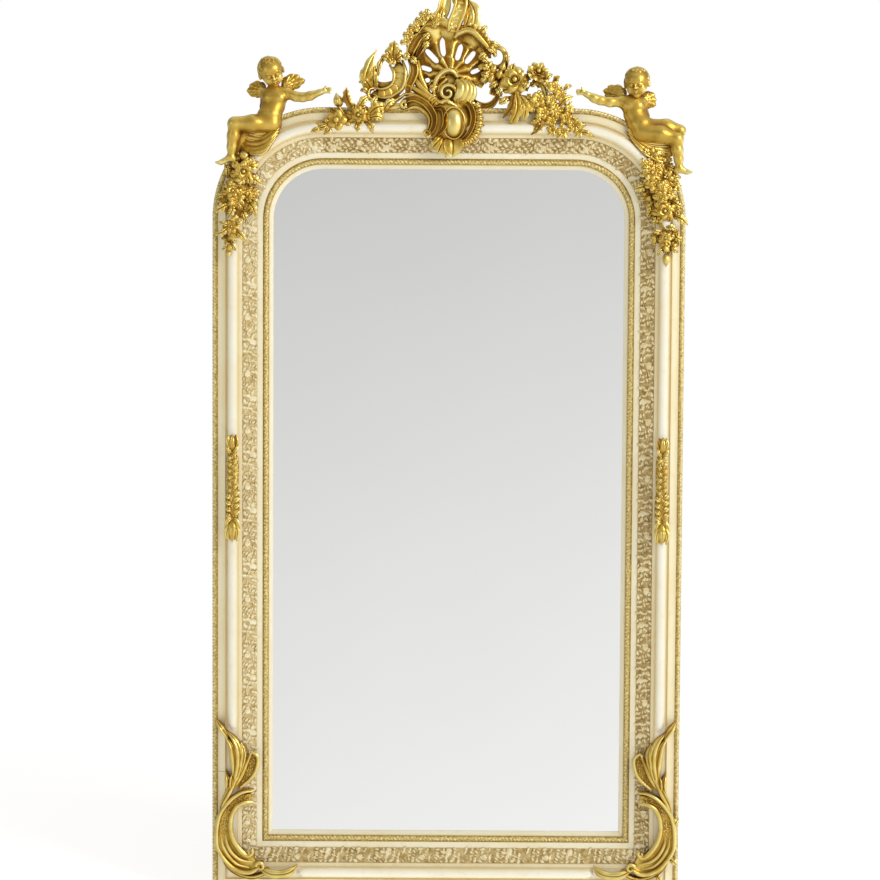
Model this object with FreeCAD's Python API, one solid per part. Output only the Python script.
import FreeCAD, Part
import math
import os

from FreeCAD import Vector

# A gilded and ivory wall mirror in the baroque manner, in millimetres.
# X runs to the viewer's right, Z up, and the front faces -Y. The back plane of the frame is Y = 0
# and the origin is its centre. Heights are measured forward from that plane, offsets outward from
# the sight edge, the inner edge of the moulding that borders the glass.

# Sight opening and moulding
SIGHT_HALF_WIDTH = 350.0
SIGHT_HALF_HEIGHT = 666.0
SIGHT_CORNER = 100.0
MOULDING_WIDTH = 119.5
CORNER_X = SIGHT_HALF_WIDTH - SIGHT_CORNER
CORNER_Z = SIGHT_HALF_HEIGHT - SIGHT_CORNER
TOP_EDGE = SIGHT_HALF_HEIGHT + MOULDING_WIDTH

# Moulding section as (offset, height) pairs, from the glass outward
SIGHT_LIP = (0.0, 14.0)
INNER_BEAD_FOOT = (8.0, 20.0)
INNER_BEAD_TOP = (19.5, 24.0)
BAND_FOOT = (31.0, 28.0)
BAND_TOP = (59.0, 38.0)
STEP_FOOT = (60.0, 41.5)
STEP_TOP = (68.0, 42.5)
TORUS_FOOT = (69.0, 44.0)
TORUS_CREST = (79.5, 55.0)
TORUS_END = (90.0, 46.0)
GROOVE = (94.0, 45.0)
COVE_TOP = (95.0, 47.0)
COVE_MIDDLE = (100.5, 40.5)
COVE_FOOT = (108.0, 38.0)
EDGE_SEAT = (MOULDING_WIDTH, 29.0)
INNER_BEAD_RISE = 5.0
BAND_RISE = 3.0
BAND_SLOPE = 0.1
OUTER_BEAD_RISE = 4.8

# Glass, back board and their rebates
GLASS_REBATE = 12.0
GLASS_EDGE = 10.0
GLASS_BACK = 6.0
GLASS_FRONT = 11.0
BOARD_REBATE = 26.0
BOARD_EDGE = 25.0
BLOCK_LENGTH = 40.0
BLOCK_LEVEL = 380.0
BLOCK_PLACE = 170.0

# Corner joinery: dowels at two offsets in every joint
DOWEL_RADIUS = 4.0
DOWEL_LENGTH = 40.0
DOWEL_OFFSETS = (48.0, 88.0)
DOWEL_HEIGHT = 18.0
HOLE_CLEARANCE = 0.05

# Screws: back board, hangers and crest strap
BOARD_SCREW_OFFSET = 18.5
BOARD_SCREW_LEVELS = (-560.0, -200.0, 160.0, 500.0)
BOARD_SCREW_PLACES = (-160.0, 40.0, 240.0)
BOARD_SCREW = (1.75, 3.6, 16.0)
HANGER_SCREW = (2.0, 3.9, 22.0)
STRAP_SCREW = (2.0, 3.9, 18.0)

# Strap hangers with a hinged ring, on the backs of the stiles
HANGER_X = 425.0
HANGER_Z = 430.0
HANGER_WIDTH = 18.0
HANGER_LENGTH = 62.0
HANGER_THICKNESS = 1.5
HANGER_SCREW_RISES = (0.0, 26.0)
PIVOT_BEHIND = 4.4
RING_WIRE = 2.0
RING_CLEARANCE = 0.08
KNUCKLE_WALL = 1.5
RING_HALF_WIDTH = 15.0
RING_CORNER = 4.0
RING_SIDE = 10.0
PAD_RADIUS = 11.0
PAD_THICKNESS = 9.0
PAD_LEVELS = (-700.0, 500.0)

# Steel strap that carries the crest, let into the back of the top rail
STRAP_X = 7.0
STRAP_WIDTH = 16.0
STRAP_BACK = 9.0
STRAP_FRONT = 12.0
STRAP_LOW = 712.0
STRAP_HIGH = 872.0
STRAP_SLACK = 0.5
STRAP_SCREW_LEVELS = (724.0, 764.0, 858.0)

# Crest carvings stand clear of the wall by this much
CREST_BACK = 12.0

FRONT = Vector(0, -1, 0)
UP = Vector(0, 0, 1)


def at(x, height, z):
    """Point of the object from its place on the front and its height off the back plane."""
    return Vector(x, -height, z)


def mirrored(shape):
    return shape.mirror(Vector(0, 0, 0), Vector(1, 0, 0))


def fused(shapes):
    """One carving from the forms that it is built up of."""
    whole = shapes[0].multiFuse(shapes[1:])
    if whole.isValid():
        return whole
    whole = shapes[0]
    for shape in shapes[1:]:
        whole = whole.fuse(shape)
    return whole


def largest(shape):
    """The main solid of a shape, without slivers that a cut leaves."""
    return max(shape.Solids, key=lambda solid: solid.Volume)


# Moulding and its applied strips

SECTION = [
    (0.0, GLASS_FRONT), SIGHT_LIP, INNER_BEAD_FOOT, INNER_BEAD_TOP, BAND_FOOT, BAND_TOP, STEP_FOOT, STEP_TOP,
    TORUS_FOOT, TORUS_CREST, TORUS_END, GROOVE, COVE_TOP, COVE_MIDDLE, COVE_FOOT, EDGE_SEAT,
]


def moulding_height(offset):
    """Height of the front face at an offset, straight between the section's points."""
    for (offset_a, height_a), (offset_b, height_b) in zip(SECTION[1:], SECTION[2:]):
        if offset <= offset_b:
            share = (max(offset, offset_a) - offset_a) / (offset_b - offset_a)
            return height_a + share * (height_b - height_a)
    return EDGE_SEAT[1]


def frame_offset(x, z):
    """Offset from the sight edge of a place on the front, round the top corners too."""
    if z > CORNER_Z and abs(x) > CORNER_X:
        return math.hypot(abs(x) - CORNER_X, z - CORNER_Z) - SIGHT_CORNER
    return max(abs(x) - SIGHT_HALF_WIDTH, abs(z) - SIGHT_HALF_HEIGHT)


def seat_height(x, z):
    return moulding_height(frame_offset(x, z))


def moulding_face(place):
    """Section of the moulding: back, two rebates, sight edge, seats for the strips, torus and cove."""
    corners = [EDGE_SEAT, (MOULDING_WIDTH, 0.0), (BOARD_REBATE, 0.0), (BOARD_REBATE, GLASS_BACK)]
    corners += [(GLASS_REBATE, GLASS_BACK), (GLASS_REBATE, GLASS_FRONT), (0.0, GLASS_FRONT)]
    corners += [SIGHT_LIP, INNER_BEAD_FOOT, INNER_BEAD_TOP, BAND_FOOT, BAND_TOP, STEP_FOOT, STEP_TOP]
    corners.append(TORUS_FOOT)
    edges = [Part.makeLine(place(*a), place(*b)) for a, b in zip(corners, corners[1:])]
    edges.append(Part.Arc(place(*TORUS_FOOT), place(*TORUS_CREST), place(*TORUS_END)).toShape())
    edges.append(Part.makeLine(place(*TORUS_END), place(*GROOVE)))
    edges.append(Part.makeLine(place(*GROOVE), place(*COVE_TOP)))
    edges.append(Part.Arc(place(*COVE_TOP), place(*COVE_MIDDLE), place(*COVE_FOOT)).toShape())
    edges.append(Part.makeLine(place(*COVE_FOOT), place(*EDGE_SEAT)))
    return Part.Face(Part.Wire(Part.__sortEdges__(edges)))


def strip_face(place, foot, top, rise):
    """Section of an applied strip: flat on its seat, arched in front."""
    run = Vector(top[0] - foot[0], top[1] - foot[1], 0)
    middle = Vector((foot[0] + top[0]) / 2, (foot[1] + top[1]) / 2, 0)
    proud = middle + Vector(-run.y, run.x, 0).normalize() * rise
    arch = Part.Arc(place(*foot), place(proud.x, proud.y), place(*top)).toShape()
    return Part.Face(Part.Wire([arch, Part.makeLine(place(*top), place(*foot))]))


def band_face(place, foot, top, rise):
    """Section of the floral band: flat on its seat and in front, with sloping edges."""
    run = Vector(top[0] - foot[0], top[1] - foot[1], 0)
    proud = Vector(-run.y, run.x, 0).normalize() * rise
    inner = Vector(*foot, 0) + run * BAND_SLOPE + proud
    outer = Vector(*top, 0) - run * BAND_SLOPE + proud
    corners = [place(*foot), place(inner.x, inner.y), place(outer.x, outer.y), place(*top)]
    return Part.Face(Part.makePolygon(corners + corners[:1]))


def beside(x_sign, z):
    """Maps a section point to the stile side at one level."""
    return lambda offset, height: at(x_sign * (SIGHT_HALF_WIDTH + offset), height, z)


def above(z_sign, x):
    """Maps a section point to the top or bottom rail at one place along it."""
    return lambda offset, height: at(x, height, z_sign * (SIGHT_HALF_HEIGHT + offset))


def mitre_block(points):
    corners = [at(x, -1, z) for x, z in points]
    return Part.Face(Part.makePolygon(corners + corners[:1])).extrude(FRONT * MITRE_DEPTH)


MITRE_DEPTH = 100.0
MITRE_REACH = MOULDING_WIDTH + 12.0
MITRE_IN = (SIGHT_HALF_WIDTH, -SIGHT_HALF_HEIGHT)
MITRE_OUT = (SIGHT_HALF_WIDTH + MITRE_REACH, -SIGHT_HALF_HEIGHT - MITRE_REACH)


def left_run(section, *sizes):
    """Straight run up the left side, mitred at the bottom."""
    low = MITRE_OUT[1]
    run = section(beside(-1, low), *sizes).extrude(UP * (CORNER_Z - low))
    outline = [(-MITRE_IN[0], CORNER_Z), (-MITRE_IN[0], MITRE_IN[1]), (-MITRE_OUT[0], MITRE_OUT[1])]
    return run.common(mitre_block(outline + [(-MITRE_OUT[0], CORNER_Z)]))


def left_bend(section, *sizes):
    """Quarter turn round the upper left corner."""
    return section(beside(-1, CORNER_Z), *sizes).revolve(at(-CORNER_X, 0, CORNER_Z), Vector(0, 1, 0), 90)


def top_run(section, *sizes):
    return section(above(1, -CORNER_X), *sizes).extrude(Vector(2 * CORNER_X, 0, 0))


def bottom_run(section, *sizes):
    run = section(above(-1, -MITRE_OUT[0]), *sizes).extrude(Vector(2 * MITRE_OUT[0], 0, 0))
    outline = [(-MITRE_IN[0], MITRE_IN[1]), MITRE_IN, MITRE_OUT, (-MITRE_OUT[0], MITRE_OUT[1])]
    return run.common(mitre_block(outline))


def strip_runs(name, section, foot, top, rise):
    """The four lengths of one applied strip: each side turns its upper corner in one piece."""
    left = fused([left_run(section, foot, top, rise), left_bend(section, foot, top, rise)])
    return {
        f"left_{name}": left,
        f"right_{name}": mirrored(left),
        f"top_{name}": top_run(section, foot, top, rise),
        f"bottom_{name}": bottom_run(section, foot, top, rise),
    }


# Joinery, glass and back

def rounded_panel(offset, back, front):
    """Panel of the sight opening's outline at an offset, with round upper corners."""
    half, bottom = SIGHT_HALF_WIDTH + offset, -SIGHT_HALF_HEIGHT - offset
    radius = SIGHT_CORNER + offset
    side = CORNER_X + radius * math.sqrt(0.5)
    high = CORNER_Z + radius * math.sqrt(0.5)
    top = CORNER_Z + radius
    edges = [
        Part.makeLine(at(-half, back, CORNER_Z), at(-half, back, bottom)),
        Part.makeLine(at(-half, back, bottom), at(half, back, bottom)),
        Part.makeLine(at(half, back, bottom), at(half, back, CORNER_Z)),
        Part.Arc(at(half, back, CORNER_Z), at(side, back, high), at(CORNER_X, back, top)).toShape(),
        Part.makeLine(at(CORNER_X, back, top), at(-CORNER_X, back, top)),
        Part.Arc(at(-CORNER_X, back, top), at(-side, back, high), at(-half, back, CORNER_Z)).toShape(),
    ]
    return Part.Face(Part.Wire(edges)).extrude(FRONT * (front - back))


def dowel_axes():
    """Middle and direction of every joint dowel: six joints, two dowels each."""
    axes = []
    for sign in (-1, 1):
        for offset in DOWEL_OFFSETS:
            side, level = sign * (SIGHT_HALF_WIDTH + offset), SIGHT_HALF_HEIGHT + offset
            axes.append((at(side, DOWEL_HEIGHT, CORNER_Z), UP))
            axes.append((at(sign * CORNER_X, DOWEL_HEIGHT, level), Vector(1, 0, 0)))
            axes.append((at(side, DOWEL_HEIGHT, -level), Vector(sign, 0, 1)))
    return axes


def dowels(radius, length):
    pins = []
    for middle, direction in dowel_axes():
        direction = Vector(direction).normalize()
        pins.append(Part.makeCylinder(radius, length, middle - direction * (length / 2), direction))
    return pins


def screw(size, head, direction, clearance=0.0):
    """Countersunk wood screw with its head's face at a point and its shank along a direction."""
    shank_radius, head_radius, length = size
    depth = head_radius - shank_radius
    cone = Part.makeCone(head_radius + clearance, shank_radius + clearance, depth, head, direction)
    shank = Part.makeCylinder(shank_radius + clearance, length - depth, head + direction * depth, direction)
    return cone.fuse(shank).removeSplitter()


def board_screw_heads():
    """Screw places round the edge of the back board."""
    side = SIGHT_HALF_WIDTH + BOARD_SCREW_OFFSET
    level = SIGHT_HALF_HEIGHT + BOARD_SCREW_OFFSET
    heads = []
    for sign in (-1, 1):
        for z in BOARD_SCREW_LEVELS:
            heads.append(at(sign * side, 0, z))
        for x in BOARD_SCREW_PLACES:
            heads.append(at(x, 0, sign * level))
    return heads


def glazing_blocks():
    """Thin blocks that centre the glass in its rebate: two on each of the four sides."""
    gap, depth = GLASS_REBATE - GLASS_EDGE, GLASS_FRONT - GLASS_BACK
    near = SIGHT_HALF_WIDTH + GLASS_EDGE
    low = SIGHT_HALF_HEIGHT + GLASS_EDGE
    blocks = []
    for place in (-1, 1):
        for sign in (-1, 1):
            x = near if sign > 0 else -near - gap
            z = low if sign > 0 else -low - gap
            beside_z = place * BLOCK_LEVEL - BLOCK_LENGTH / 2
            above_x = place * BLOCK_PLACE - BLOCK_LENGTH / 2
            blocks.append(Part.makeBox(gap, depth, BLOCK_LENGTH, at(x, GLASS_FRONT, beside_z)))
            blocks.append(Part.makeBox(BLOCK_LENGTH, depth, gap, at(above_x, GLASS_FRONT, z)))
    return Part.makeCompound(blocks)


# Hangers

def hanger_plate(x):
    """Steel strap with round ends, two countersunk holes and a rolled knuckle for the ring."""
    half = HANGER_WIDTH / 2
    low = HANGER_Z - HANGER_LENGTH
    strap = Part.makeBox(HANGER_WIDTH, HANGER_THICKNESS, HANGER_LENGTH, Vector(x - half, 0, low))
    strap = strap.fuse(Part.makeCylinder(half, HANGER_THICKNESS, Vector(x, 0, low), Vector(0, 1, 0)))
    bore = RING_WIRE + RING_CLEARANCE
    pivot = Vector(x - half, PIVOT_BEHIND, HANGER_Z)
    knuckle = Part.makeCylinder(bore + KNUCKLE_WALL, HANGER_WIDTH, pivot, Vector(1, 0, 0))
    plate = strap.fuse(knuckle).cut(Part.makeCylinder(bore, HANGER_WIDTH, pivot, Vector(1, 0, 0)))
    for head in hanger_screw_heads(x):
        plate = plate.cut(screw(HANGER_SCREW, head, FRONT, HOLE_CLEARANCE))
    return plate.removeSplitter()


def hanger_screw_heads(x):
    return [Vector(x, HANGER_THICKNESS, HANGER_Z - HANGER_LENGTH + rise) for rise in HANGER_SCREW_RISES]


def hanger_ring(x):
    """Bent wire ring, hanging down from its straight bar in the knuckle."""
    wide, corner = RING_HALF_WIDTH, RING_CORNER
    skew = corner * (1 - math.sqrt(0.5))
    low = HANGER_Z - corner - RING_SIDE

    def point(across, z):
        return Vector(x + across, PIVOT_BEHIND, z)

    def bend(*places):
        return Part.Arc(*[point(*place) for place in places]).toShape()

    top = HANGER_Z
    edges = [
        Part.makeLine(point(corner - wide, top), point(wide - corner, top)),
        bend((wide - corner, top), (wide - skew, top - skew), (wide, top - corner)),
        Part.makeLine(point(wide, top - corner), point(wide, low)),
        bend((wide, low), (0, low - wide), (-wide, low)),
        Part.makeLine(point(-wide, low), point(-wide, top - corner)),
        bend((-wide, top - corner), (skew - wide, top - skew), (corner - wide, top)),
    ]
    wire = Part.Wire(Part.makeCircle(RING_WIRE, point(corner - wide, top), Vector(1, 0, 0)))
    return Part.Wire(edges).makePipeShell([wire], True, False)


def wall_pads():
    """Felt pads on the back that hold the mirror off the wall, clear of the hangers."""
    places = [(sign * HANGER_X, z) for sign in (-1, 1) for z in PAD_LEVELS]
    return Part.makeCompound(
        [Part.makeCylinder(PAD_RADIUS, PAD_THICKNESS, Vector(x, 0, z), Vector(0, 1, 0)) for x, z in places]
    )


# Carved forms

def section_axes(places, index):
    """Across and forward directions of the section at one station of a spine."""
    before = places[max(index - 1, 0)]
    after = places[min(index + 1, len(places) - 1)]
    along = (after - before).normalize()
    across = along.cross(FRONT).normalize()
    return across, across.cross(along)


def plume(stations):
    """Leaf, rib or scroll band: an arched, flat-backed section at each (x, z, height, width, rise)."""
    places = [at(x, height, z) for x, z, height, width, rise in stations]
    sections = []
    for index, (x, z, height, width, rise) in enumerate(stations):
        across, forward = section_axes(places, index)
        left = places[index] - across * (width / 2)
        right = places[index] + across * (width / 2)
        arch = Part.Arc(left, places[index] + forward * rise, right).toShape()
        sections.append(Part.Wire([arch, Part.makeLine(right, left)]))
    return Part.makeLoft(sections, True, False)


def leaf(root, tip, width, rise, bow=0.0, base=None):
    """Pointed leaf from root to tip, bowed sideways, lying on the moulding or at a base height."""
    run_x, run_z = tip[0] - root[0], tip[1] - root[1]
    stations = []
    for share, spread, lift in ((0.0, 0.45, 0.8), (0.35, 1.0, 1.0), (0.7, 0.72, 0.8), (1.0, 0.12, 0.35)):
        sway = bow * math.sin(math.pi * share)
        x, z = root[0] + run_x * share - run_z * sway, root[1] + run_z * share + run_x * sway
        height = seat_height(x, z) - 3 if base is None else base
        stations.append((x, z, height, width * spread, rise * lift))
    return plume(stations)


def scroll(centre, radii, angles, width, rise, base, squash=1.0, end_width=0.5):
    """C or S band along a spiral: angles in degrees from +X towards +Z, radii at both ends."""
    steps = max(5, int(abs(angles[1] - angles[0]) / 30) + 1)
    stations = []
    for step in range(steps + 1):
        share = step / steps
        angle = math.radians(angles[0] + (angles[1] - angles[0]) * share)
        radius = radii[0] + (radii[1] - radii[0]) * share
        swell = end_width + (1 - end_width) * math.sin(math.pi * share)
        x, z = centre[0] + radius * squash * math.cos(angle), centre[1] + radius * math.sin(angle)
        stations.append((x, z, base, width * swell, rise * (0.6 + 0.4 * math.sin(math.pi * share))))
    return plume(stations)


def rosette(x, z, radius, petals, rise, base=None):
    """Flower head: a lobed outline that swells and closes again, with a round eye."""
    base = seat_height(x, z) - 3 if base is None else base
    step = 2 * math.pi / petals
    levels = []
    for share, lift in ((0.8, 0.0), (1.0, 0.55), (0.62, 1.0)):
        height = base + rise * lift
        arcs = []
        for petal in range(petals):
            points = []
            for turn, reach in ((petal * step, 0.8), ((petal + 0.5) * step, 1.0), ((petal + 1) * step, 0.8)):
                out = radius * share * reach
                points.append(at(x + out * math.cos(turn), height, z + out * math.sin(turn)))
            arcs.append(Part.Arc(*points).toShape())
        levels.append(Part.Wire(arcs))
    eye = Part.makeSphere(radius * 0.36, at(x, base + rise * 0.9, z))
    return Part.makeLoft(levels, True, True).fuse(eye)


def bud(x, z, radius, base=None):
    """Round bud or bead sunk a third into what carries it."""
    base = seat_height(x, z) if base is None else base
    return Part.makeSphere(radius, at(x, base + radius * 0.35, z))


def limb(stations):
    """Rounded limb or trunk: an oval section at each (x, z, height, half width, half depth)."""
    places = [at(x, height, z) for x, z, height, wide, deep in stations]
    sections = []
    for index, (x, z, height, wide, deep) in enumerate(stations):
        across, forward = section_axes(places, index)
        ring = []
        for step in range(8):
            turn = step * math.pi / 4
            offset = across * (wide * math.cos(turn)) + forward * (deep * math.sin(turn))
            ring.append(places[index] + offset)
        curve = Part.BSplineCurve()
        curve.interpolate(ring, PeriodicFlag=True)
        sections.append(Part.Wire(curve.toShape()))
    return Part.makeLoft(sections, True, False)


def egg(x, z, height, radius, half_height, lean):
    """Egg-shaped head about its own upright axis, leaning sideways by some degrees."""
    curve = Part.Ellipse(Vector(0, 0, half_height), Vector(radius, 0, 0), Vector(0, 0, 0))
    axis = Part.makeLine(Vector(0, 0, -half_height), Vector(0, 0, half_height))
    half = Part.Wire([curve.toShape(0, math.pi), axis])
    solid = Part.Face(half).revolve(Vector(0, 0, 0), UP, 360)
    solid.rotate(Vector(0, 0, 0), Vector(0, 1, 0), lean)
    solid.translate(at(x, height, z))
    return solid


# Crest

def shell():
    """Pierced shell: ribs that fan out from a round hub to a rim of two curved bands."""
    hub_x, hub_z, reach = 10.0, 860.0, 101.0
    forms = [Part.makeSphere(21.0, at(hub_x, 30, hub_z))]
    for angle in range(20, 171, 15):
        turn = math.radians(angle)
        stations = []
        for share, width, rise in ((0.1, 8, 30), (0.55, 11, 24), (1.0, 20, 30)):
            x, z = hub_x + reach * share * math.cos(turn), hub_z + reach * share * math.sin(turn)
            stations.append((x, z, CREST_BACK, width, rise))
        forms.append(plume(stations))
    forms.append(scroll((hub_x, hub_z), (98, 104), (178, 98), 18, 40, CREST_BACK))
    forms.append(scroll((hub_x, hub_z), (88, 104), (12, 82), 18, 40, CREST_BACK))
    return fused(forms)


def finial():
    """Crowning leaf: a broad ribbed middle between a pointed and a rounded lobe."""
    middle = plume([(12, 930, 14, 34, 34), (14, 975, 16, 52, 38), (17, 1008, 20, 36, 30),
                    (19, 1024, 24, 8, 12)])
    pointed = plume([(-10, 945, 16, 22, 26), (-20, 974, 18, 22, 26), (-15, 1004, 22, 4, 10)])
    rounded = plume([(36, 938, 16, 26, 26), (50, 968, 18, 30, 28), (50, 994, 22, 8, 12)])
    return fused([middle, pointed, rounded])


def rocaille():
    """Shell work under the hub: a spiral with a round eye, a hood above it and a fan of flutes."""
    eye_x, eye_z = 0.0, 815.0
    forms = [plume([(5, 786, 14, 64, 24), (5, 815, 12, 84, 26), (6, 846, 12, 44, 22)])]
    forms.append(Part.makeSphere(10.0, at(eye_x, 46, eye_z)))
    forms.append(scroll((eye_x, eye_z), (15, 30), (-40, 320), 10, 20, 28))
    forms.append(scroll((eye_x, 838), (17, 17), (-20, 200), 10, 32, CREST_BACK))
    for angle in (-28, -6, 16, 38):
        turn = math.radians(angle)
        tip = (eye_x + 54 * math.cos(turn), eye_z + 54 * math.sin(turn))
        forms.append(plume([(18, eye_z, 26, 7, 18), (tip[0], tip[1], 16, 16, 24)]))
    return fused(forms)


def cartouche():
    """Oval boss on the top rail, framed by C bands with a leaf below."""
    boss_x, boss_z = 12.0, 752.0
    forms = [egg(boss_x, boss_z, 56, 16, 29, 0)]
    forms.append(plume([(boss_x, 716, 40, 34, 16), (boss_x, 752, 42, 74, 20), (boss_x, 794, 32, 60, 22)]))
    forms.append(scroll((14, 757), (38, 36), (-72, 76), 13, 30, 42))
    forms.append(scroll((-35, 755), (32, 32), (74, -70), 11, 28, 42))
    forms.append(scroll((-60, 768), (36, 38), (170, -70), 13, 26, 36))
    for tip_x, tip_z in ((-30, 702), (-5, 685), (21, 700)):
        forms.append(leaf((4, 732), (tip_x, tip_z), 24, 22, base=38))
    forms.append(leaf((34, 738), (62, 712), 18, 20, base=38))
    for bead in range(5):
        forms.append(bud(58 + 1.5 * math.sin(bead), 740 + 11 * bead, 5.0, 42))
    return fused(forms)


def left_scroll():
    """Open C scroll with rungs between its two rims, a flame at its lip and an acanthus at its foot."""
    centre = (-128.0, 848.0)
    forms = [scroll(centre, (46, 47), (-140, 48), 14, 28, 16)]
    forms.append(scroll(centre, (25, 27), (-130, 66), 9, 22, 16))
    for angle in range(-110, 40, 24):
        turn = math.radians(angle)
        inner = (centre[0] + 22 * math.cos(turn), centre[1] + 22 * math.sin(turn))
        outer = (centre[0] + 46 * math.cos(turn), centre[1] + 46 * math.sin(turn))
        forms.append(plume([(inner[0], inner[1], 16, 5, 14), (outer[0], outer[1], 16, 9, 18)]))
    forms.append(Part.makeSphere(11.0, at(-106, 30, 880)))
    forms.append(leaf((-100, 876), (-106, 917), 16, 18, 0.1, 20))
    forms.append(leaf((-152, 812), (-145, 896), 26, 24, 0.2, 18))
    forms.append(leaf((-150, 812), (-179, 838), 15, 18, 0.0, 18))
    return fused(forms)


def right_scroll():
    """Small open loop on a stem with buds."""
    forms = [scroll((99, 886), (20, 18), (-150, 150), 9, 24, 16)]
    forms.append(plume([(118, 872, 16, 10, 22), (106, 848, 16, 22, 24), (90, 815, 16, 24, 20)]))
    for x, z, radius in ((92, 862, 8), (104, 852, 9), (88, 842, 8)):
        forms.append(bud(x, z, radius, 34))
    return fused(forms)


def left_spray():
    """Branch along the top rail with a rose, a daisy, a bud and leaves."""
    forms = [plume([(-100, 790, 20, 14, 20), (-165, 776, 32, 30, 16), (-225, 763, 36, 24, 14),
                    (-282, 735, 42, 4, 8)])]
    forms.append(rosette(-178, 770, 21, 8, 24, 38))
    forms.append(rosette(-222, 757, 16, 8, 18, 40))
    forms.append(plume([(-205, 768, 34, 9, 12), (-219, 792, 34, 10, 12)]))
    forms.append(Part.makeSphere(10.0, at(-220, 40, 799)))
    leaves = (((-190, 780), (-203, 822), 17), ((-176, 782), (-158, 805), 15), ((-160, 768), (-124, 787), 20),
              ((-165, 762), (-150, 736), 14), ((-178, 758), (-184, 740), 13), ((-236, 752), (-262, 744), 13))
    for root, tip, width in leaves:
        forms.append(leaf(root, tip, width, 18, base=34))
    return fused(forms)


def right_spray():
    """Thick cluster: a rose and a carnation above the rail, small flowers trailing along it."""
    forms = [plume([(106, 800, 18, 26, 22), (150, 806, 24, 34, 22), (200, 792, 30, 40, 26),
                    (240, 758, 44, 36, 16), (291, 722, 46, 5, 9)])]
    forms.append(plume([(140, 806, 20, 26, 22), (136, 846, 20, 30, 22)]))
    forms.append(plume([(200, 796, 26, 22, 20), (190, 848, 26, 14, 18)]))
    forms.append(plume([(150, 812, 24, 12, 18), (168, 850, 26, 14, 18)]))
    forms.append(rosette(135, 838, 26, 9, 28, 24))
    forms.append(rosette(179, 853, 20, 11, 22, 28))
    flowers = ((211, 824, 14), (222, 808, 12), (180, 800, 15), (214, 780, 15), (236, 765, 13), (190, 775, 14),
               (183, 752, 14), (249, 750, 12), (228, 738, 13))
    for x, z, radius in flowers:
        forms.append(rosette(x, z, radius, 6, 17, max(38, seat_height(x, z) - 3)))
    leaves = (((222, 786), (249, 806), 14, 34), ((136, 812), (128, 748), 28, 36),
              ((146, 806), (152, 760), 18, 36), ((188, 768), (168, 733), 14, 42),
              ((250, 746), (277, 748), 11, 44))
    for root, tip, width, base in leaves:
        forms.append(leaf(root, tip, width, 20, base=base))
    return fused(forms)


# Putti on the upper corners

def left_cherub():
    """Seated putto: head, trunk, one arm stretched to the crest, one leg over the moulding."""
    forms = [egg(-355, 860, 40, 26, 29, -8)]
    forms.append(limb([(-350, 838, 38, 11, 11), (-348, 820, 36, 13, 12)]))
    forms.append(limb([(-346, 827, 34, 13, 11), (-348, 812, 35, 25, 18), (-351, 792, 36, 22, 18),
                       (-355, 770, 40, 27, 22), (-351, 748, 40, 24, 20)]))
    forms.append(limb([(-334, 815, 38, 11, 11), (-308, 808, 41, 9, 9), (-288, 806, 43, 9, 9),
                       (-246, 821, 45, 6, 6)]))
    forms.append(Part.makeSphere(9.0, at(-241, 45, 825)))
    forms.append(limb([(-346, 758, 46, 18, 18), (-388, 762, 55, 18, 17), (-427, 755, 59, 14, 14)]))
    forms.append(Part.makeSphere(14.5, at(-426, 58, 753)))
    forms.append(limb([(-427, 756, 58, 13, 13), (-431, 724, 57, 13, 13), (-431, 686, 56, 8, 8)]))
    forms.append(limb([(-425, 688, 56, 9, 9), (-446, 680, 58, 8, 8), (-466, 675, 58, 5, 5)]))
    return fused(forms)


def right_cherub():
    """Seated putto that looks out: arm stretched to the crest, both knees over the edge."""
    forms = [egg(378, 837, 40, 26, 30, 5)]
    forms.append(limb([(375, 815, 38, 11, 11), (372, 800, 36, 13, 12)]))
    forms.append(limb([(370, 810, 34, 13, 11), (371, 796, 35, 25, 18), (375, 774, 37, 23, 19),
                       (386, 748, 40, 27, 22), (394, 728, 40, 23, 20)]))
    forms.append(limb([(354, 798, 38, 11, 11), (326, 796, 41, 9, 9), (306, 798, 43, 9, 9),
                       (272, 813, 45, 6, 6)]))
    forms.append(Part.makeSphere(9.0, at(268, 45, 816)))
    forms.append(limb([(388, 742, 48, 18, 18), (425, 736, 57, 17, 16), (460, 728, 59, 13, 13)]))
    forms.append(limb([(396, 752, 36, 17, 17), (438, 750, 38, 16, 15), (470, 744, 40, 11, 11)]))
    forms.append(Part.makeSphere(14.0, at(459, 58, 726)))
    forms.append(limb([(459, 728, 58, 13, 13), (463, 698, 57, 12, 12), (463, 664, 56, 8, 8)]))
    forms.append(limb([(456, 666, 56, 9, 9), (472, 659, 58, 7, 7), (489, 657, 58, 5, 4)]))
    return fused(forms)


def wing(root, tips, base):
    """Small wing: overlapping feathers that fan out from the shoulder."""
    return fused([leaf(root, tip, 13, 10, 0.0, base) for tip in tips])


def drapery(folds):
    """Cloth over the moulding under a putto: round folds side by side."""
    forms = []
    for (top_x, top_z), (low_x, low_z) in folds:
        middle = ((top_x + low_x) / 2 - 3, (top_z + low_z) / 2)
        stations = []
        for (x, z), width in (((top_x, top_z), 16), (middle, 20), ((low_x, low_z), 13)):
            stations.append((x, z, seat_height(x, z) - 4, width, 15))
        forms.append(plume(stations))
    return fused(forms)


# Garlands, drops and corner scrolls on the side mouldings

def garland(stem, flowers, leaves):
    """Hanging bunch: a stem along the moulding, flower heads and pointed leaves."""
    forms = [plume([(x, z, seat_height(x, z) - 6, width, 16) for x, z, width in stem])]
    for x, z, radius, petals in flowers:
        forms.append(rosette(x, z, radius, petals, 17))
    for root, tip, width in leaves:
        forms.append(leaf(root, tip, width, 15))
    return fused(forms)


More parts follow.
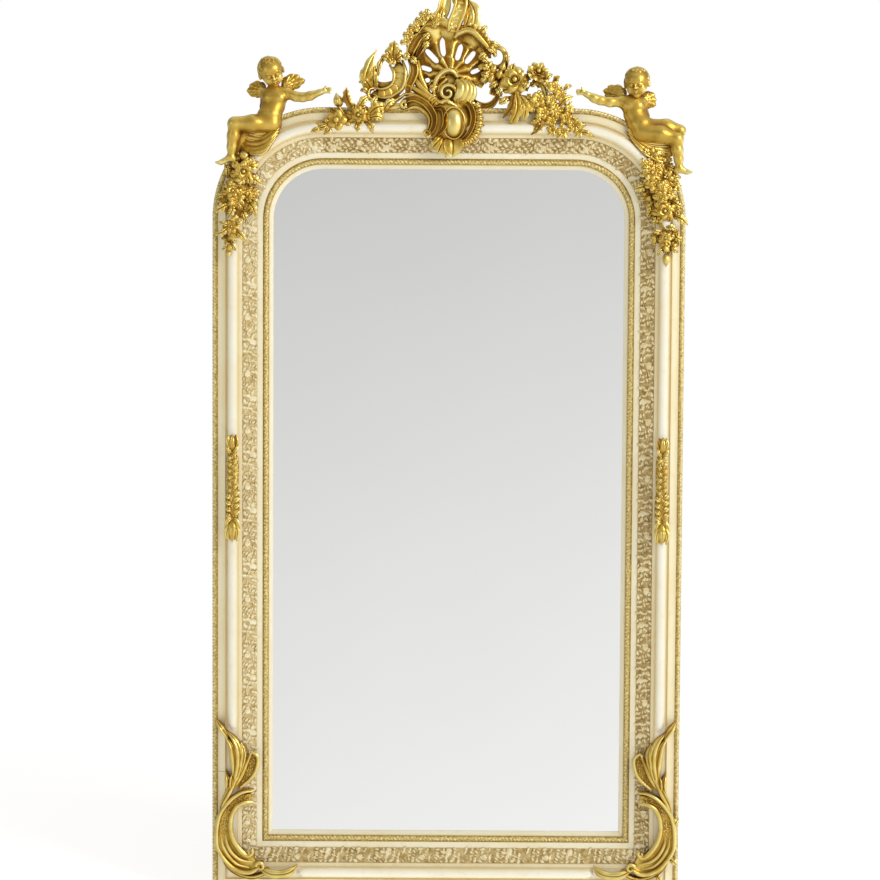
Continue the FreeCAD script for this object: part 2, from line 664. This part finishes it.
def left_garland():
    stem = [(-398, 700, 24), (-414, 660, 46), (-428, 620, 56), (-428, 575, 40), (-432, 560, 16)]
    flowers = [(-403, 690, 13, 5), (-420, 663, 14, 6), (-447, 638, 12, 6), (-396, 648, 15, 7),
               (-428, 630, 15, 7), (-404, 615, 14, 6), (-446, 605, 13, 6), (-422, 592, 15, 7)]
    leaves = [((-405, 642), (-376, 633), 16), ((-440, 592), (-468, 577), 15), ((-405, 595), (-386, 572), 16),
              ((-445, 650), (-438, 672), 12)]
    return garland(stem, flowers, leaves)


def left_garland_tail():
    stem = [(-432, 562, 12), (-431, 545, 24), (-437, 515, 20), (-438, 490, 6)]
    flowers = [(-430, 545, 14, 6), (-441, 522, 9, 5), (-436, 504, 8, 5)]
    leaves = [((-437, 545), (-467, 533), 12), ((-425, 538), (-403, 519), 13)]
    return garland(stem, flowers, leaves)


def right_garland():
    stem = [(408, 700, 34), (424, 660, 62), (430, 612, 60), (430, 570, 48), (434, 546, 16)]
    flowers = [(408, 687, 17, 7), (438, 679, 11, 6), (404, 650, 16, 7), (441, 653, 13, 6), (414, 629, 12, 6),
               (450, 608, 10, 5), (426, 604, 14, 7), (445, 577, 18, 8), (405, 576, 13, 6)]
    leaves = [((402, 632), (374, 622), 16), ((455, 572), (483, 552), 16), ((450, 638), (467, 646), 12),
              ((450, 600), (471, 591), 11), ((402, 600), (390, 578), 13)]
    return garland(stem, flowers, leaves)


def right_garland_tail():
    stem = [(434, 548, 12), (440, 525, 32), (441, 500, 24), (438, 462, 6)]
    flowers = [(438, 526, 13, 6), (453, 520, 10, 5), (420, 519, 10, 5), (443, 502, 10, 5), (438, 482, 9, 5)]
    leaves = [((452, 528), (468, 522), 9), ((436, 545), (456, 536), 11)]
    return garland(stem, flowers, leaves)


def side_drop(x, top, bottom, seeds):
    """Husk drop on the middle of a stile: a tulip at each end and seeds between."""
    forms = [leaf((x, top - 46), (x, top), 27, 15), leaf((x, bottom + 46), (x, bottom), 27, 15)]
    levels = top - 34, (top + bottom) / 2, bottom + 34
    forms.append(plume([(x, z, seat_height(x, z) - 4, 18, 11) for z in levels]))
    for place in range(seeds):
        level = top - 42 - (top - bottom - 84) * place / (seeds - 1)
        forms.append(rosette(x + 5 * (-1) ** place, level, 9, 5, 14))
    return fused(forms)


def corner_plume():
    """Acanthus that rises up the stile from the corner scroll, with lobes towards the glass."""
    forms = [plume([(-465, -440, 34, 4, 8), (-447, -459, 38, 13, 18), (-428, -486, 40, 22, 24),
                    (-419, -516, 38, 28, 26), (-424, -552, 36, 30, 26), (-438, -592, 36, 30, 24)])]
    lobes = (((-424, -520), (-404, -486), 15), ((-420, -540), (-384, -508), 18),
             ((-424, -562), (-382, -526), 17), ((-430, -580), (-388, -560), 15),
             ((-444, -588), (-448, -538), 12))
    for root, tip, width in lobes:
        forms.append(leaf(root, tip, width, 24, -0.08, 30))
    return fused(forms)


def corner_scroll():
    """Large C scroll over the lower corner: two rims, a hollow channel between them and an end leaf."""
    forms = [scroll((-402, -668), (84, 84), (78, 306), 15, 32, 30, 0.74)]
    forms.append(scroll((-402, -658), (50, 50), (82, 288), 10, 28, 30, 0.62))
    forms.append(scroll((-402, -663), (66, 66), (86, 296), 36, 20, 28, 0.7))
    for lift in (0, 16, 32):
        forms.append(leaf((-456 + lift, -655 - lift), (-418 + lift / 2, -732 - lift / 4), 13, 26, 0.16, 30))
    forms.append(leaf((-384, -748), (-303, -738), 22, 24, -0.1, 30))
    return fused(forms)


# Assembly

CHERUB_PIN_RADIUS = 3.0
CHERUB_PIN_LENGTH = 56.0
CHERUB_PIN_HEIGHT = 20.0
CHERUB_PIN_LEAN = math.radians(27.0)
CARVING_BACK = Part.makeBox(700, 100, 400, Vector(-350, -CREST_BACK, TOP_EDGE))


def strap_screw_heads():
    return [at(STRAP_X, STRAP_BACK, z) for z in STRAP_SCREW_LEVELS]


def crest_strap():
    size = (STRAP_WIDTH, STRAP_FRONT - STRAP_BACK, STRAP_HIGH - STRAP_LOW)
    strap = Part.makeBox(*size, at(STRAP_X - STRAP_WIDTH / 2, STRAP_FRONT, STRAP_LOW))
    return strap.cut([screw(STRAP_SCREW, head, FRONT, HOLE_CLEARANCE) for head in strap_screw_heads()])


def strap_groove():
    """Slot in the back of the top rail, a little wider than the strap and open at the top edge."""
    size = (STRAP_WIDTH + 2 * STRAP_SLACK, STRAP_FRONT, TOP_EDGE - STRAP_LOW + 2 * STRAP_SLACK)
    near = STRAP_X - STRAP_WIDTH / 2 - STRAP_SLACK
    return Part.makeBox(*size, at(near, STRAP_FRONT, STRAP_LOW - STRAP_SLACK))


def cherub_pin(sign, radius, length):
    """Steel pin from the top corner's edge up into the seated putto."""
    direction = Vector(sign * math.sin(CHERUB_PIN_LEAN), 0, math.cos(CHERUB_PIN_LEAN))
    edge = at(sign * CORNER_X, CHERUB_PIN_HEIGHT, CORNER_Z) + direction * (SIGHT_CORNER + MOULDING_WIDTH)
    return Part.makeCylinder(radius, length, edge - direction * (length / 2), direction)


def cherub_pins(radius, length):
    return [cherub_pin(sign, radius, length) for sign in (-1, 1)]


def screws(size, heads, clearance=0.0):
    return [screw(size, head, FRONT, clearance) for head in heads]


def hanger_heads():
    return hanger_screw_heads(-HANGER_X) + hanger_screw_heads(HANGER_X)


def frame_pieces():
    """Stiles, shoulders and rails with their dowel holes, screw pilots and the strap's groove."""
    left_stile = left_run(moulding_face)
    left_shoulder = left_bend(moulding_face)
    pieces = {
        "left_stile": left_stile,
        "right_stile": mirrored(left_stile),
        "left_shoulder": left_shoulder,
        "right_shoulder": mirrored(left_shoulder),
        "top_rail": top_run(moulding_face),
        "bottom_rail": bottom_run(moulding_face),
    }
    holes = dowels(DOWEL_RADIUS + HOLE_CLEARANCE, DOWEL_LENGTH + 2)
    holes += screws(BOARD_SCREW, board_screw_heads(), HOLE_CLEARANCE)
    holes += screws(HANGER_SCREW, hanger_heads(), HOLE_CLEARANCE)
    holes += screws(STRAP_SCREW, strap_screw_heads(), HOLE_CLEARANCE)
    holes += cherub_pins(CHERUB_PIN_RADIUS + HOLE_CLEARANCE, CHERUB_PIN_LENGTH + 2)
    holes.append(strap_groove())
    return {name: seated(piece, holes) for name, piece in pieces.items()}


def seated(shape, neighbours):
    """A piece cut to the ones that it fits against."""
    return largest(shape.cut(neighbours))


LEFT_SIDE = ["left_stile", "left_outer_beading", "left_floral_band"]
LEFT_CORNER = ["left_shoulder", "left_outer_beading", "left_floral_band"]
RIGHT_SIDE = ["right_stile", "right_outer_beading", "right_floral_band"]
RIGHT_CORNER = ["right_shoulder", "right_outer_beading", "right_floral_band"]
TOP_SIDE = ["top_rail", "top_outer_beading", "top_floral_band"]
BOTTOM_SIDE = ["bottom_rail", "bottom_outer_beading", "bottom_floral_band"]
LEFT_WING_TIPS = ((-407, 838), (-406, 825), (-397, 812)), ((-284, 854), (-286, 842), (-296, 831))
RIGHT_WING_TIPS = ((307, 831), (309, 818), (318, 805)), ((422, 818), (420, 803), (411, 788))
LEFT_FOLDS = ((-346, 742), (-348, 704)), ((-362, 742), (-366, 700)), ((-380, 742), (-386, 702))
RIGHT_FOLDS = ((376, 722), (372, 692)), ((394, 722), (392, 690)), ((414, 718), (412, 694))


def carvings():
    """Gilded ornaments in the order in which they are fitted, each with the pieces that it is cut to."""
    return [
        ("crest_cartouche", cartouche(), TOP_SIDE),
        ("crest_rocaille", rocaille(), TOP_SIDE + ["crest_cartouche", "crest_back", "strap_holes"]),
        ("crest_shell", shell(), ["crest_rocaille", "crest_back", "strap_holes"]),
        ("crest_finial", finial(), ["crest_shell", "crest_back"]),
        ("crest_left_scroll", left_scroll(), ["crest_cartouche", "crest_shell"]),
        ("crest_right_scroll", right_scroll(), ["crest_shell"]),
        ("crest_left_spray", left_spray(),
         TOP_SIDE + LEFT_CORNER + ["crest_cartouche", "crest_left_scroll"]),
        ("crest_right_spray", right_spray(),
         TOP_SIDE + RIGHT_CORNER + ["crest_shell", "crest_right_scroll"]),
        ("left_cherub_body", left_cherub(), LEFT_CORNER + ["cherub_holes", "crest_left_spray"]),
        ("right_cherub_body", right_cherub(), RIGHT_CORNER + ["cherub_holes", "crest_right_spray"]),
        ("left_cherub_outer_wing", wing((-366, 820), LEFT_WING_TIPS[0], 20), ["left_cherub_body"]),
        ("left_cherub_inner_wing", wing((-330, 828), LEFT_WING_TIPS[1], 20), ["left_cherub_body"]),
        ("right_cherub_inner_wing", wing((354, 815), RIGHT_WING_TIPS[0], 20), ["right_cherub_body"]),
        ("right_cherub_outer_wing", wing((392, 802), RIGHT_WING_TIPS[1], 20), ["right_cherub_body"]),
        ("left_drapery", drapery(LEFT_FOLDS), LEFT_CORNER + ["left_cherub_body"]),
        ("right_drapery", drapery(RIGHT_FOLDS), RIGHT_CORNER + ["right_cherub_body"]),
        ("left_garland", left_garland(),
         LEFT_SIDE + ["left_shoulder", "left_cherub_body", "left_drapery"]),
        ("right_garland", right_garland(),
         RIGHT_SIDE + ["right_shoulder", "right_cherub_body", "right_drapery"]),
        ("left_garland_tail", left_garland_tail(), LEFT_SIDE + ["left_garland"]),
        ("right_garland_tail", right_garland_tail(), RIGHT_SIDE + ["right_garland"]),
        ("left_corner_scroll", corner_scroll(), LEFT_SIDE + BOTTOM_SIDE),
        ("left_corner_plume", corner_plume(), LEFT_SIDE + ["left_corner_scroll"]),
        ("left_side_drop", side_drop(-428.5, 128.0, -82.0, 6), ["left_stile"]),
        ("right_side_drop", side_drop(427.5, 122.0, -88.0, 7), ["right_stile"]),
    ]


def assembly():
    """Every separate piece of the mirror by name."""
    pieces = frame_pieces()
    pieces.update(strip_runs("outer_beading", strip_face, COVE_FOOT, EDGE_SEAT, OUTER_BEAD_RISE))
    pieces.update(strip_runs("floral_band", band_face, BAND_FOOT, BAND_TOP, BAND_RISE))
    pieces.update(strip_runs("inner_beading", strip_face, INNER_BEAD_FOOT, INNER_BEAD_TOP, INNER_BEAD_RISE))
    pieces["joint_dowels"] = Part.makeCompound(dowels(DOWEL_RADIUS, DOWEL_LENGTH))
    pieces["mirror_glass"] = rounded_panel(GLASS_EDGE, GLASS_BACK, GLASS_FRONT)
    pieces["glazing_blocks"] = glazing_blocks()
    board = rounded_panel(BOARD_EDGE, 0.0, GLASS_BACK)
    pieces["back_board"] = board.cut(screws(BOARD_SCREW, board_screw_heads(), HOLE_CLEARANCE))
    pieces["back_board_screws"] = Part.makeCompound(screws(BOARD_SCREW, board_screw_heads()))
    for side, sign in (("left", -1), ("right", 1)):
        pieces[f"{side}_hanger_plate"] = hanger_plate(sign * HANGER_X)
        pieces[f"{side}_hanger_ring"] = hanger_ring(sign * HANGER_X)
    pieces["hanger_screws"] = Part.makeCompound(screws(HANGER_SCREW, hanger_heads()))
    pieces["wall_pads"] = wall_pads()
    pieces["crest_strap"] = crest_strap()
    pieces["crest_strap_screws"] = Part.makeCompound(screws(STRAP_SCREW, strap_screw_heads()))
    pieces["cherub_pins"] = Part.makeCompound(cherub_pins(CHERUB_PIN_RADIUS, CHERUB_PIN_LENGTH))
    fits = dict(pieces)
    fits["crest_back"] = CARVING_BACK
    fits["strap_holes"] = Part.makeCompound(screws(STRAP_SCREW, strap_screw_heads(), HOLE_CLEARANCE))
    pin_holes = cherub_pins(CHERUB_PIN_RADIUS + HOLE_CLEARANCE, CHERUB_PIN_LENGTH + 2)
    fits["cherub_holes"] = Part.makeCompound(pin_holes)
    for name, carving, neighbours in carvings():
        fits[name] = pieces[name] = seated(carving, [fits[neighbour] for neighbour in neighbours])
    for name in ("corner_scroll", "corner_plume"):
        pieces[f"right_{name}"] = mirrored(pieces[f"left_{name}"])
    return pieces


os.makedirs("parts", exist_ok=True)
for node, solid in assembly().items():
    solid.exportStep(f"parts/{node}.step")
